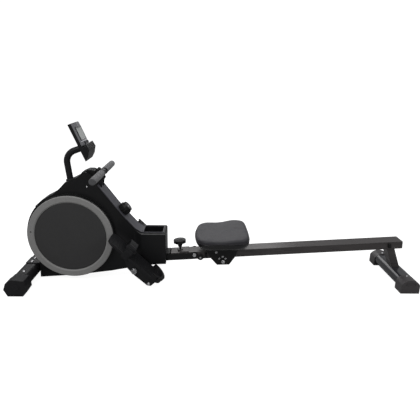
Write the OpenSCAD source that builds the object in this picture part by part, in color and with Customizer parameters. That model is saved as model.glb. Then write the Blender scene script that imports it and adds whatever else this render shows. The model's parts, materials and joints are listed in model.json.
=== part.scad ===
// Folding magnetic rowing machine. +X runs from the flywheel housing to the rear foot, +Z is up, the
// floor is Z = 0 and Y = 0 is the middle plane. The seated rower faces -X, so -Y is the rower's left.

/* [Feet] */
// Distance of the front stabiliser from the origin
front_foot_x = 926; // [916:1:936]
// Distance of the rear stabiliser from the origin
rear_foot_x = 934.5; // [760:0.5:1130]
// Half length of the front stabiliser, caps included
front_foot_half = 239; // [215:1:290]
// Half length of the rear stabiliser, caps included
rear_foot_half = 194; // [160:1:240]
// Length of each stabiliser end cap
foot_cap_len = 64; // [45:1:80]

/* [Rail] */
// Rise of the rail towards the rear, degrees
rail_slope = 3.6; // [2.5:0.1:4.5]
// Width of the rail tube
rail_w = 74; // [60:1:90]
// Height of the rail tube
rail_h = 37.5; // [34:0.5:40]
// Wall of the rail tube
rail_wall = 2.5; // [1.5:0.1:4]
// Fold pivot, distance in front of the origin
pivot_back = 108; // [100:1:112]
// Fold pivot, height above the floor
pivot_z = 128; // [126:1:136]
// Length of the rail in front of the fold pivot
rail_nose = 117; // [100:1:117]
// Radius of the fold pivot bolt
pivot_r = 5; // [4:0.5:6]
// Gap between the rail's sides and the hinge cheeks
side_gap = 0.5; // [0.3:0.1:1]
// Thickness of the hinge cheeks and axle plates
plate_t = 4; // [3:0.5:6]

/* [Housing] */
// Disc centre, distance in front of the origin
disc_front = 705; // [700:1:710]
// Disc centre, height above the floor
disc_z = 233; // [228:1:238]
// Outer radius of the side ring
ring_r = 204.6; // [190:0.1:206]
// Inner radius of the side ring
ring_in_r = 172; // [150:1:182]
// Half width of the housing beside the slope
cover_half = 50; // [48:1:54]
// Half width of the drum behind each ring
drum_half = 72; // [66:1:78]
// Wall of the plastic covers
cover_wall = 3; // [2:0.5:4]
// Half width of the tray box
tray_half = 71; // [62:1:76]
// Depth of the tray pocket
pocket_depth = 70; // [50:1:90]

/* [Handle] */
// Handlebar centre, distance in front of the origin
handle_front = 549; // [546:1:552]
// Handlebar centre, height above the floor
handle_z = 539; // [537:1:543]
// Half length of the handlebar
handle_half = 216; // [180:1:250]
// Radius of the handlebar tube
bar_r = 11; // [9:0.5:12]
// Radius of the foam grips
grip_r = 16; // [14:0.5:18]
// Rise of the pull direction, degrees
pull_rise = 4; // [2:0.5:6]
// Width of the pull strap
strap_w = 25; // [20:1:28]
// Thickness of the pull strap
strap_t = 1.6; // [1:0.1:2]

/* [Wheels] */
// Radius of the flywheel
flywheel_r = 105; // [90:1:107]
// Width of the flywheel rim
flywheel_w = 24; // [16:1:26]
// Radius of the drive pulley
drive_r = 100; // [85:1:104]
// Radius of the belt pulley on the flywheel
small_r = 22; // [16:1:28]
// Radius of the strap reel
reel_r = 42; // [32:1:48]
// Radius of the main axle
main_axle_r = 8; // [6:0.5:10]
// Radius of the tension knob
tension_r = 31; // [25:1:34]

/* [Console] */
// Width of the console
console_w = 124; // [110:1:150]
// Length of the console along its face
console_len = 180; // [178:1:190]
// Radius of the console arm tube
arm_r = 15; // [12:0.5:17]

/* [Seat] */
// Length of the seat
seat_len = 265; // [240:1:280]
// Width of the seat
seat_w = 318; // [280:1:330]
// Thickness of the seat pad
pad_t = 30; // [22:1:36]
// Travel of the seat along the rail
seat_travel = 760; // [580:1:760]
// Radius of the seat rollers
roller_r = 17; // [14:0.5:18]
// Radius of the seat roller axles
roller_axle_r = 5; // [4:0.5:6]

/* [Pedals] */
// Middle of each footplate, distance from the middle plane
pedal_y = 145; // [142:1:155]
// Width of each footplate
pedal_w = 114; // [100:1:120]
// Footplate tilt below level, degrees
pedal_tilt = 44; // [40:1:48]
// Radius of the pedal axle
pedal_axle_r = 8; // [6:0.5:9]

/* [Fasteners] */
// Radius of the lock knob stem
stem_r = 5; // [4:0.5:6]
// Radius of the stabiliser bolts
foot_bolt_r = 4; // [3:0.5:5]
// Radial running clearance of shafts in their holes
run_gap = 0.05; // [0.02:0.01:0.1]
// Gap between parts that move past each other
part_gap = 0.3; // [0.3:0.1:0.6]

/* [Hidden] */
$fn = 64;
eps = 0.02;

// Rail frame: u along the rail from the pivot, w square to it
rail_below = 23;
rail_top = rail_h - rail_below;
rail_tail = (rear_foot_x + pivot_back + 5.5) / cos(rail_slope);
stub_end = 123;
stub_w = rail_w + 2 * side_gap;
cheek_in = stub_w / 2;
cheek_out = cheek_in + plate_t;
spine_front = front_foot_x - 58;

// Stabiliser tubes
front_tube = [84, 60];
front_tube_z = 45;
rear_tube = [84, 56];
rear_tube_z = 36;
rear_cap_w = 91;
rear_cap_h = 69;
saddle_t = 4;
saddle_z = front_tube_z + front_tube[1] / 2;
cap_bolt_y = 126;
saddle_bolt_y = 20;

// Housing outline about the disc centre, clockwise from the bottom front corner
body_r = 216;
slope_pts = [[339, 14], [307, 34], [260, 87], [215, 143], [170, 204], [135, 251]];
body_pts = concat([[-174, -225], [0, -213], [179, -189], [270, -172], [339, -153]], slope_pts,
  [[107, 300], [82, 315], [47, 290], [7, 270], [-15, 263], [-39, 237], [-75, 205], [-129, 177],
  [-163, 147]]);
slope_shift = [1.9, 1.6];
disc_c = [-disc_front, disc_z];
ring_t = 10;
disc_t = 6;
lip_r = 160;
slope_cover_half = 48;
screw_at = [[-618, 476], [-430, 120]];
screw_r = 1.5;

// Wheels inside the housing
fly_c = disc_c + [185, 7];
magnet_c = disc_c + [90, 87];
magnet_pin_r = 5;
fly_axle_r = 6;
belt_y = [-33, -21];
belt_t = 2.5;
guide_r = 13.5;
guide_axle_r = 5;
handle_c = [-handle_front, handle_z];
guide_x = -610;
strap_z = handle_z + (guide_x + handle_front) * tan(pull_rise);
guide_c = [guide_x, strap_z - strap_t / 2 - part_gap - guide_r];
strap_end_x = -handle_front - 23;
wheel_bore = main_axle_r + run_gap;

// Tension knob: origin on the slope cover, axis square to the slope
knob_c = [-462.6, 348.5];
knob_turn = 51;
knob_h = 36;
knob_stem_r = 4;

// Console: x runs down the face, z out of it
console_c = [-682, 764];
console_turn = 67;
arm_bend_c = [-658, 585];
arm_bend_r = 58;
arm_low = [-702.4, 452];
button_at = 101;
button_r = 5.5;
button_gap = 0.4;
crown_r = 120;
crown_top = 30;

// Pedals: s runs to the heel, n out of the footplate, origin on the pedal axle
pedal_c = [-386, 114];
pedal_top = 33;
pedal_t = 12;
toe_s = -183;
heel_s = 81;
heel_r = pedal_w / 2;
cup_h = 20;
strap_band = 40;
strap_s = -80;
arch_rise = 37;

// Seat and carriage, in the rail frame
carriage_front = 64;
carriage_rear = 219;
roller_u = [103, 181, 142];
carriage_in = rail_w / 2 + 7;
carriage_t = 3;
carriage_top = 70;
upper_axle_w = rail_top + part_gap + roller_r;
lower_axle_w = -rail_below - part_gap - roller_r;
seat_front = 9.5;
pad_low = 81;
stop_t = 12;
knob_u = 71;
nose_plate_t = 4.5;
collar_h = 7.5;
tongue_reach = 41;
tongue_w = 12;
tongue_t = 5;
lug_u = 30;
lug_w = -13;

// ---- helpers ----
module slab(y0, y1) translate([0, y1, 0]) rotate([90, 0, 0]) linear_extrude(y1 - y0) children();
module rod(p, r, y0, y1) translate([p[0], y0, p[1]]) rotate([-90, 0, 0]) cylinder(r = r, h = y1 - y0);
module mid_rod(p, r, half) rod(p, r, -half, half);
module box(lo, hi) translate(lo) cube(hi - lo);
module rail_frame() translate([-pivot_back, 0, pivot_z]) rotate([0, -rail_slope, 0]) children();
module console_frame() translate([console_c[0], 0, console_c[1]])
  rotate([0, console_turn, 0]) children();
module knob_frame() translate([knob_c[0], 0, knob_c[1]]) rotate([0, knob_turn, 0]) children();
module pedal_frame(side) translate([pedal_c[0], side * pedal_y, pedal_c[1]])
  rotate([0, pedal_tilt, 0]) children();
module both_sides() { children(); mirror([0, 1, 0]) children(); }
module stadium(size) {
  r = size[1] / 2;
  square([size[0] - size[1], size[1]], center = true);
  for (s = [-1, 1]) translate([s * (size[0] / 2 - r), 0]) circle(r);
}
function unit(v) = v / norm(v);
function inward(a, b) = let (d = unit(b - a)) [-d[1], d[0]];
// Corner points of a counter-clockwise outline moved in by t
function inset(pts, t) = let (n = len(pts)) [for (i = [0:n - 1])
  let (n1 = inward(pts[(i + n - 1) % n], pts[i]), n2 = inward(pts[i], pts[(i + 1) % n]))
  pts[i] + t * (n1 + n2) / (1 + n1 * n2)];
function shifted(pts, v) = [for (p = pts) p + v];
function reversed(pts) = [for (i = [len(pts) - 1:-1:0]) pts[i]];
// Unit normal of the outer tangent of circle a (centre, radius) and circle b, on the chosen side
function tangent_angle(ca, ra, cb, rb, side) = let (v = cb - ca)
  atan2(v[1], v[0]) + side * acos((ra - rb) / norm(v));
function around(c, r, a) = c + r * [cos(a), sin(a)];

// ---- frame ----
module main_frame() color("#1c1c1e") {
  difference() {
    union() {
      rail_frame() difference() {
        box([-spine_front + pivot_back, -cheek_in, -rail_below], [-stub_end, cheek_in, rail_top]);
        box([-spine_front + pivot_back + rail_wall, -cheek_in + rail_wall, rail_wall - rail_below],
          [-stub_end + 1, cheek_in - rail_wall, rail_top - rail_wall]);
      }
      box([-front_foot_x - 25, -cheek_in, saddle_z], [-spine_front + 6, cheek_in, saddle_z + saddle_t]);
      box([-spine_front - 8, -cheek_in, 48], [-spine_front + 2, cheek_in, saddle_z + saddle_t]);
    }
    for (y = [-saddle_bolt_y, saddle_bolt_y]) translate([-front_foot_x, y, saddle_z - 1])
      cylinder(r = foot_bolt_r + run_gap, h = saddle_t + 2);
    mid_rod(pedal_c, pedal_axle_r, cheek_out);
  }
}
module cheek_outline() difference() {
  union() {
    translate([-160, -rail_below + 1]) square([160, rail_top + rail_below - 4]);
    circle(17);
  }
  circle(pivot_r + run_gap);
}
module hinge_bracket() color("#222224") rail_frame() difference() {
  both_sides() slab(cheek_in, cheek_out) cheek_outline();
  box([-knob_u - 9, cheek_in - 1, -7.5], [-knob_u + 27, cheek_out + 1, 0.5]);
}
module axle_plates() color("#2a2a2c") both_sides() difference() {
  slab(cheek_in, cheek_out) polygon(shifted([[-110, -147], [235, -133], [280, 2], [205, 97], [120, 207],
    [110, 272], [99, 295], [80, 301], [5, 257], [-40, 207], [-95, 67]], disc_c));
  mid_rod(disc_c, wheel_bore, cheek_out + 1);
  mid_rod(fly_c, fly_axle_r + run_gap, cheek_out + 1);
  mid_rod(magnet_c, magnet_pin_r + run_gap, cheek_out + 1);
  mid_rod(guide_c, guide_axle_r + run_gap, cheek_out + 1);
}
module front_stabiliser() color("#1b1b1d") {
  half = front_foot_half - 6;
  difference() {
    translate([-front_foot_x, 0, front_tube_z]) slab(-half, half) difference() {
      stadium(front_tube);
      stadium(front_tube - [6, 6]);
    }
    for (y = [-cap_bolt_y, -saddle_bolt_y, saddle_bolt_y, cap_bolt_y])
      translate([-front_foot_x, y, front_tube_z]) cylinder(r = foot_bolt_r + run_gap, h = 40);
  }
}
module front_cap(side) color("#121213") mirror([0, side > 0 ? 1 : 0, 0])
  translate([-front_foot_x, 0, 0]) difference() {
    union() {
      slab(-front_foot_half, -front_foot_half + foot_cap_len)
        polygon([[-37, 0], [33, 0], [52, 27], [50, 56], [42, 77], [-14, 83], [-43, 64], [-54, 33]]);
      slab(-front_foot_half + foot_cap_len, -front_foot_half + foot_cap_len + 20)
        translate([0, front_tube_z]) stadium(front_tube + [5, 5]);
    }
    slab(-front_foot_half + 6, -front_foot_half + foot_cap_len + 40)
      translate([0, front_tube_z]) stadium(front_tube);
  }
module front_cap_left() front_cap(-1);
module front_cap_right() front_cap(1);
module dome_bolt(r, head_r, head_h, shank) {
  translate([0, 0, -shank]) cylinder(r = r, h = shank);
  rotate_extrude() intersection() {
    translate([0, head_h - head_r * 1.3]) circle(head_r * 1.3);
    square([head_r, head_h]);
  }
}
module stabiliser_bolts() color("#8a8a8c") {
  for (y = [-saddle_bolt_y, saddle_bolt_y]) translate([-front_foot_x, y, saddle_z + saddle_t])
    dome_bolt(foot_bolt_r, 9, 5, 12);
  for (y = [-cap_bolt_y, cap_bolt_y]) translate([-front_foot_x, y, saddle_z])
    dome_bolt(foot_bolt_r, 8, 4, 8);
}

// ---- housing ----
module body_outline(t = 0) translate(disc_c) {
  polygon(t == 0 ? body_pts : inset(body_pts, t));
  circle(body_r - t);
}
module knob_hole() knob_frame() translate([0, 0, -40]) cylinder(r = knob_stem_r + 1.5, h = 60);
module cover_left() color("#151516") difference() {
  union() {
    slab(-cover_half, -eps) body_outline();
    rod(disc_c, ring_r + 4, -drum_half, -cover_half);
  }
  slab(-cover_half + cover_wall, 1) body_outline(cover_wall);
  rod(disc_c, ring_r + 4 - cover_wall, -drum_half + cover_wall, -cover_half + cover_wall + 1);
  rod(disc_c, lip_r, -drum_half - 1, -cover_half);
  box([-disc_front + 330, -cover_half + cover_wall, disc_z - 152],
    [-disc_front + 345, 1, disc_z + 8]);
  box([-front_foot_x + 30, -cheek_in - 1, 46], [-front_foot_x + 75, 1, 100]);
  box([-645, -strap_w / 2 - 8, handle_z - 60], [-560, 1, handle_z + 30]);
  box([-740, -arm_r - 1, 470], [-680, 1, 530]);
  rod(pedal_c, pedal_axle_r + 2, -cover_half - 1, 1);
  for (p = screw_at) rod(p, screw_r + run_gap, -cover_half - 1, -cover_half + cover_wall + 1);
  knob_hole();
}
module cover_right() color("#151516") mirror([0, 1, 0]) cover_left();
module slope_strip() translate(disc_c)
  polygon(concat(slope_pts, reversed(shifted(slope_pts, slope_shift))));
module slope_cover() color("#4a4a4e") difference() {
  slab(-slope_cover_half, slope_cover_half) slope_strip();
  knob_hole();
}
module tray_flare() hull() {
  box([-disc_front + 339, cover_half, 88], [-disc_front + 340, tray_half, disc_z + 13]);
  box([-disc_front + 300, cover_half, 96], [-disc_front + 301, cover_half + 0.5, disc_z + 34]);
}
module tray_box() color("#161617") {
  front = -disc_front + 339;
  top = disc_z + 14;
  wall = cover_wall;
  difference() {
    union() {
      slab(-tray_half, tray_half) polygon([[front, 80], [-300, 90], [-249, 92], [-249, top - 6],
        [-254, top], [front, top]]);
      box([-364, -52, top - 1], [-254, 52, top + 3]);
      both_sides() tray_flare();
    }
    difference() {
      box([front - 1, -tray_half + wall, 92], [-249 - wall, tray_half - wall, top - wall]);
      box([-364, -51, top - pocket_depth - wall], [-249, 51, top]);
    }
    box([-358, -45, top - pocket_depth], [-265, 45, top + 4]);
    box([front - 1, -cheek_out - 1, 70], [-240, cheek_out + 1, 136]);
    mid_rod(pedal_c, pedal_axle_r + 2, tray_half + 1);
  }
}
module roller_hood() color("#1e1e20") difference() {
  union() {
    slab(-30, 30) polygon([[-668, 505], [-662, 520], [-642, 540], [-617, 551], [-594, 551], [-580, 546],
      [-580, 480]]);
    for (y = [-27, -15, -3, 9, 21]) slab(y, y + 6) polygon([[-650, 526], [-642, 542], [-616, 554],
      [-593, 554], [-580, 549], [-580, 500]]);
  }
  slab(-27, 27) polygon([[-660, 500], [-656, 517], [-638, 536], [-616, 547], [-596, 547], [-583, 543],
    [-583, 480]]);
  slab(-60, 60) body_outline();
  slab(-60, 60) slope_strip();
  box([-590, -strap_w / 2 - 2, strap_z - 6], [-575, strap_w / 2 + 2, strap_z + 7]);
}
module ring_left() color("#6e6c69") difference() {
  translate([disc_c[0], -drum_half, disc_c[1]]) rotate([90, 0, 0]) rotate_extrude($fn = 96)
    polygon([[ring_in_r, 0], [ring_r, 0], [ring_r, ring_t - 3], [ring_r - 3, ring_t],
      [ring_in_r + 6, ring_t], [ring_in_r, ring_t - 4]]);
  rod(around(disc_c, 188, 172.5), 4, -drum_half - ring_t - 1, -drum_half - 3);
}
module ring_right() color("#6e6c69") mirror([0, 1, 0]) ring_left();
module disc_left() color("#373636") translate([disc_c[0], -drum_half, disc_c[1]])
  rotate([90, 0, 0]) rotate_extrude($fn = 96) polygon([[0, 0], [ring_in_r - 0.5, 0],
    [ring_in_r - 0.5, disc_t - 2], [ring_in_r - 4, disc_t], [ring_in_r - 24, disc_t],
    [ring_in_r - 26, disc_t - 1.2], [0, disc_t - 1.2]]);
module disc_right() color("#373636") mirror([0, 1, 0]) disc_left();
module cover_screws() color("#909092") both_sides() for (p = screw_at)
  translate([p[0], -cover_half, p[1]]) rotate([90, 0, 0]) dome_bolt(screw_r, 4.5, 2, 2.5);
module handle_cradle() color("#19191a") difference() {
  both_sides() slab(strap_w / 2 + 3.5, strap_w / 2 + 10.5) polygon([[-579.5, 470], [-579.5, 552],
    [-574, 558], [-566, 557], [-561, 549], [-561, 535], [-553, 524], [-545, 520], [-541, 510],
    [-549, 498], [-556, 450]]);
  mid_rod(handle_c, bar_r + part_gap, 60);
  slab(-60, 60) body_outline();
  slab(-60, 60) slope_strip();
}
arm_low_a = 186;
arm_top_a = 110;
// One edge of the arm, h out from its middle: up from the housing, round the bend, to the console
function arm_edge(h) = concat([around(arm_low, h, arm_low_a)],
  [for (i = [0:12]) around(arm_bend_c, arm_bend_r + h, arm_low_a + (arm_top_a - arm_low_a) * i / 12)],
  [around(around(arm_bend_c, arm_bend_r, arm_top_a), h, arm_top_a) + 80 * [sin(arm_top_a), -cos(arm_top_a)]]);
module console_arm() color("#141415") difference() {
  union() {
    slab(-arm_r, arm_r) polygon(concat(arm_edge(arm_r), reversed(arm_edge(-arm_r))));
    mid_rod(arm_low, 10, cheek_in);
  }
  console_frame() box([-20, -80, 0], [console_len + 20, 80, 90]);
}
module console_back() color("#151516") console_frame() difference() {
  slab(-console_w / 2, console_w / 2) polygon([[0, 0], [0, 14], [118, 14], [118, 33.5], [108, 33.5],
    [108, 37], [111, 38.5], [136, 40.5], [144, 35], [162, 23], [console_len, 1], [console_len - 1, 0]]);
  box([20, -40, 11], [100, 40, 15]);
}
module face_window() box([25, -42, 0], [83, 42, 60]);
module console_face() color("#6d6d70") console_frame() difference() {
  intersection() {
    box([3, -console_w / 2 + 4, 14], [109, console_w / 2 - 4, 40]);
    translate([0, 0, crown_top - crown_r]) rotate([0, 90, 0]) cylinder(r = crown_r, h = 130, $fn = 128);
  }
  face_window();
  for (y = [-24, 0, 24]) translate([button_at, y, 0]) cylinder(r = button_r + button_gap, h = 60);
}
module lcd_screen() color("#aeb2b0") console_frame() box([25.2, -41.8, 14], [82.8, 41.8, 22]);
module button(y) color("#232325") console_frame() translate([button_at, y, 16.2])
  cylinder(r = button_r, h = crown_top - 16.2 + (y == 0 ? 2 : -0.4));
module button_left() button(-24);
module button_middle() button(0);
module button_right() button(24);

// ---- inside the housing ----
module wheel_axles() color("#9a9a9c") {
  mid_rod(disc_c, main_axle_r, cheek_out + 4);
  mid_rod(fly_c, fly_axle_r, cheek_out + 4);
  mid_rod(magnet_c, magnet_pin_r, cheek_out + 3);
  mid_rod(guide_c, guide_axle_r, cheek_out + 3);
}
module turned(c, pts) translate([c[0], 0, c[1]]) rotate([-90, 0, 0]) rotate_extrude($fn = 96)
  polygon(pts);
module strap_reel() color("#3a3a3d") turned(disc_c, [[wheel_bore, -18], [60, -18], [60, -15],
  [reel_r, -15], [reel_r, 15], [60, 15], [60, 18], [wheel_bore, 18]]);
module drive_pulley() color("#333336") turned(disc_c, [[wheel_bore, belt_y[0] - 2],
  [wheel_bore + 12, belt_y[0] - 2], [wheel_bore + 12, -28], [drive_r - 10, -28],
  [drive_r - 10, belt_y[0]], [drive_r, belt_y[0]], [drive_r, belt_y[1]], [drive_r - 10, belt_y[1]],
  [drive_r - 10, -25], [wheel_bore + 12, -25], [wheel_bore + 12, -19], [wheel_bore, -19]]);
module flywheel() color("#6b6b6e") {
  y0 = -3;
  y1 = y0 + flywheel_w;
  turned(fly_c, [[fly_axle_r + run_gap, belt_y[0] - 2], [small_r, belt_y[0] - 2], [small_r, belt_y[1]],
    [16, belt_y[1]], [16, y0 + 8], [flywheel_r - 28, y0 + 8], [flywheel_r - 28, y0], [flywheel_r, y0],
    [flywheel_r, y1], [flywheel_r - 28, y1], [flywheel_r - 28, y1 - 8], [16, y1 - 8], [16, y1 + 6],
    [fly_axle_r + run_gap, y1 + 6]]);
}
module belt_outline(ra, rb) {
  a1 = tangent_angle(disc_c, ra, fly_c, rb, 1);
  a2 = tangent_angle(disc_c, ra, fly_c, rb, -1);
  translate(disc_c) circle(ra, $fn = 96);
  translate(fly_c) circle(rb, $fn = 96);
  polygon([around(disc_c, ra, a2), around(fly_c, rb, a2), around(fly_c, rb, a1), around(disc_c, ra, a1)]);
}
module drive_belt() color("#101010") slab(belt_y[0] + 1, belt_y[1] - 1) difference() {
  belt_outline(drive_r + part_gap + belt_t, small_r + part_gap + belt_t);
  belt_outline(drive_r + part_gap, small_r + part_gap);
}
module magnet_bracket() color("#77777a") {
  y0 = -5;
  y1 = y0 + flywheel_w + 4;
  difference() {
    union() {
      slab(y0, y1) difference() {
        translate(fly_c) circle(flywheel_r + 10, $fn = 96);
        translate(fly_c) circle(flywheel_r + 3, $fn = 96);
        translate(fly_c) polygon([[0, 0], around([0, 0], 300, 139), [-300, -300], [300, -300],
          around([0, 0], 300, 80)]);
      }
      rod(magnet_c, 12, y0, y1);
    }
    rod(magnet_c, magnet_pin_r + run_gap, y0 - 1, y1 + 1);
  }
}
module guide_roller() color("#4a4a4d") turned(guide_c, [[guide_axle_r + run_gap, -16],
  [guide_r + 2.5, -16], [guide_r + 2.5, -14], [guide_r, -14], [guide_r, 14], [guide_r + 2.5, 14],
  [guide_r + 2.5, 16], [guide_axle_r + run_gap, 16]]);
guide_run_r = guide_r + part_gap + strap_t / 2;
reel_run_r = reel_r + part_gap + strap_t / 2;
strap_low_a = tangent_angle(disc_c, reel_run_r, guide_c, guide_run_r, 1);
strap_top_a = 90 + pull_rise;
strap_end = [strap_end_x, handle_z + (strap_end_x + handle_front) * tan(pull_rise)];
// One face of the strap, h out from its middle: off the reel, over the roller, to the handle
function strap_face(h) = concat([around(disc_c, reel_run_r + h, strap_low_a)],
  [for (i = [0:8]) around(guide_c, guide_run_r + h, strap_low_a + (strap_top_a - strap_low_a) * i / 8)],
  [around(strap_end, h, strap_top_a)]);
module pull_strap() color("#1a1a1a") slab(-strap_w / 2, strap_w / 2)
  polygon(concat(strap_face(strap_t / 2), reversed(strap_face(-strap_t / 2))));
module tension_knob() color("#141414") knob_frame() {
  difference() {
    union() {
      translate([0, 0, 1]) cylinder(r = tension_r, h = 22);
      translate([0, 0, 23]) cylinder(r1 = tension_r - 3, r2 = tension_r - 6, h = knob_h - 23);
    }
    for (a = [0:30:330]) rotate([0, 0, a]) translate([tension_r + 3, 0, -1]) cylinder(r = 6, h = 24.5);
  }
  translate([0, 0, -9]) cylinder(r = knob_stem_r, h = 11);
}

// ---- handle ----
module handle_bar() color("#2b2b2d") mid_rod(handle_c, bar_r, handle_half - 8);
module grip(side) color("#5c5c5f") mirror([0, side > 0 ? 1 : 0, 0])
  translate([handle_c[0], -strap_w / 2 - 12, handle_c[1]]) rotate([90, 0, 0]) {
    len = handle_half - strap_w / 2 - 12;
    rotate_extrude() polygon([[bar_r, 0], [grip_r - 1, 0], [grip_r, 1], [grip_r, len - 3],
      [grip_r - 3, len], [0, len], [0, len - 8], [bar_r, len - 8]]);
  }
module grip_left() grip(-1);
module grip_right() grip(1);
module strap_clamp() color("#202022") difference() {
  union() {
    mid_rod(handle_c, bar_r + 4, strap_w / 2 + 1);
    translate([handle_c[0], 0, handle_c[1]]) rotate([0, -pull_rise, 0])
      box([-22, -strap_w / 2, -4], [-bar_r - 2, strap_w / 2, 4]);
  }
  mid_rod(handle_c, bar_r, strap_w);
}

// ---- pedals ----
module pedal_axle() color("#4c4c4f") {
  mid_rod(pedal_c, pedal_axle_r, pedal_y + pedal_w / 2 + 12);
  both_sides() difference() {
    rod(pedal_c, pedal_axle_r + 5, tray_half + 0.5, pedal_y - pedal_w / 2 - part_gap);
    rod(pedal_c, pedal_axle_r, tray_half, pedal_y);
  }
}
module pedal_nuts() color("#b8b8ba") both_sides() difference() {
  translate([pedal_c[0], pedal_y + pedal_w / 2 + part_gap, pedal_c[1]]) rotate([-90, 0, 0]) {
    cylinder(r = pedal_axle_r + 5, h = 1.5);
    translate([0, 0, 1.5]) cylinder(r = pedal_axle_r + 5, h = 7.5, $fn = 6);
  }
  mid_rod(pedal_c, pedal_axle_r, 400);
}
module foot_outline(r) {
  translate([toe_s + 30, -r]) square([heel_s - toe_s - 30, 2 * r]);
  translate([toe_s, -r + 30]) square([40, 2 * r - 60]);
  for (s = [-1, 1]) translate([toe_s + 30, s * (r - 30)]) circle(30);
  translate([heel_s, 0]) circle(r);
}
module footplate(side) color("#1a1a1b") pedal_frame(side) difference() {
  union() {
    translate([0, 0, pedal_top - pedal_t]) linear_extrude(pedal_t) foot_outline(heel_r);
    translate([0, 0, pedal_top - pedal_t]) linear_extrude(pedal_t + cup_h) difference() {
      translate([heel_s, 0]) circle(heel_r);
      translate([heel_s - 8, 0]) circle(heel_r - 6);
      translate([-200, -100]) square([192 + heel_s, 200]);
    }
    for (y = [-heel_r + 5, heel_r - 11]) slab(y, y + 6) polygon([[-90, 22], [-30, -13], [14, -17],
      [94, -14], [108, -4], [110, 22]]);
    rod([0, 0], pedal_axle_r + 7, -heel_r, heel_r);
  }
  rod([0, 0], pedal_axle_r + run_gap, -heel_r - 1, heel_r + 1);
}
module pedal_left() footplate(-1);
module pedal_right() footplate(1);
function strap_arch(grow) = [for (a = [0:7.5:180])
  [(heel_r + grow) * cos(a), pedal_top + 10 + (arch_rise + grow) * sin(a)]];
module foot_strap(side) color("#1d1d1f") pedal_frame(side) translate([strap_s - strap_band / 2, 0, 0])
  rotate([90, 0, 90]) linear_extrude(strap_band) polygon(concat(
    [[heel_r + 2.5, pedal_top - pedal_t]], strap_arch(2.5), [[-heel_r - 2.5, pedal_top - pedal_t],
    [-heel_r, pedal_top - pedal_t]], reversed(strap_arch(0)), [[heel_r, pedal_top - pedal_t]]));
module foot_strap_left() foot_strap(-1);
module foot_strap_right() foot_strap(1);

// ---- rail ----
module rail_beam() color("#3b3a3c") rail_frame() difference() {
  union() {
    difference() {
      box([-rail_nose, -rail_w / 2, -rail_below], [rail_tail, rail_w / 2, rail_top]);
      box([-rail_nose + rail_wall, -rail_w / 2 + rail_wall, rail_wall - rail_below],
        [rail_tail + 1, rail_w / 2 - rail_wall, rail_top - rail_wall]);
    }
    rod([0, 0], pivot_r + 4, -rail_w / 2 + 1, rail_w / 2 - 1);
    box([-knob_u - 1, -rail_w / 2 + 4, rail_top - 0.5], [-knob_u + 44, rail_w / 2 - 4, rail_top + nose_plate_t]);
    translate([-knob_u, 0, rail_top - 0.5]) cylinder(r = 14, h = collar_h + 0.5);
  }
  rod([0, 0], pivot_r + run_gap, -rail_w, rail_w);
  translate([-knob_u, 0, 0]) cylinder(r = stem_r + run_gap, h = 60);
  box([-knob_u - 9, rail_w / 2 - rail_wall - 1, -7.5], [-knob_u + 27, rail_w / 2 + 1, 0.5]);
}
module hinge_bolts() color("#a0a0a2") rail_frame() {
  mid_rod([0, 0], pivot_r, cheek_out + 7);
  both_sides() difference() {
    union() {
      rod([0, 0], 9, cheek_out, cheek_out + 1.5);
      translate([0, cheek_out + 1.5, 0]) rotate([-90, 0, 0]) cylinder(r = 8.5, h = 5.5, $fn = 6);
    }
    mid_rod([0, 0], pivot_r, 80);
  }
}
module hinge_lugs() color("#28282a") rail_frame() {
  both_sides() {
    rod([lug_u, lug_w], 8, rail_w / 2, cheek_out + 0.5);
    rod([lug_u, lug_w], 15, cheek_out + 0.5, cheek_out + 4);
    translate([lug_u, cheek_out + 4, lug_w]) rotate([-90, 0, 0]) cylinder(r = 8, h = 5, $fn = 6);
  }
}
module rail_end_cap() color("#101011") rail_frame() {
  box([rail_tail, -rail_w / 2, -rail_below], [rail_tail + 4, rail_w / 2, rail_top]);
  box([rail_tail - 20, -rail_w / 2 + rail_wall, rail_wall - rail_below],
    [rail_tail, rail_w / 2 - rail_wall, rail_top - rail_wall]);
}
function underside_z(x) = pivot_z + (x + pivot_back) * tan(rail_slope) - rail_below / cos(rail_slope);
post_top = rear_foot_x - 58;
module rear_post() color("#3b3a3c") difference() {
  slab(-30, 30) polygon([[post_top - 8, underside_z(post_top - 8)], [post_top + 42, 45],
    [post_top + 80, 45], [post_top + 32, underside_z(post_top + 32)]]);
  translate([rear_foot_x, 0, rear_tube_z]) slab(-40, 40) stadium(rear_tube);
}
module rear_stabiliser() color("#2c2c2f") translate([rear_foot_x, 0, rear_tube_z])
  slab(-rear_foot_half + 6, rear_foot_half - 6) difference() {
    stadium(rear_tube);
    stadium(rear_tube - [6, 6]);
  }
module rear_caps() color("#1d1d1f") both_sides() translate([rear_foot_x, 0, 0]) difference() {
  slab(-rear_foot_half, -rear_foot_half + foot_cap_len) intersection() {
    translate([-rear_cap_w / 2, 0]) square([rear_cap_w, rear_cap_h]);
    translate([0, rear_cap_h - 52]) circle(52, $fn = 96);
  }
  slab(-rear_foot_half + 6, -rear_foot_half + foot_cap_len + 1)
    translate([0, rear_tube_z]) stadium(rear_tube);
  translate([0, -rear_foot_half + 50, rear_tube_z]) cylinder(r = 2 + run_gap, h = 60);
  slab(-rear_foot_half - 1, -rear_foot_half + 3) translate([0, 47]) stadium([50, 15]);
}
module rear_bolts() color("#a0a0a2") both_sides() translate([rear_foot_x, -rear_foot_half + 50, rear_cap_h])
  dome_bolt(2, 5, 2.5, 2.5);
module seat_stops() color("#0f0f10") rail_frame() both_sides() {
  for (u = [carriage_front - stop_t - part_gap, carriage_rear + seat_travel + part_gap])
    box([u, rail_w / 2, -14], [u + stop_t, carriage_in + carriage_t + 2, 8]);
}
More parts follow.
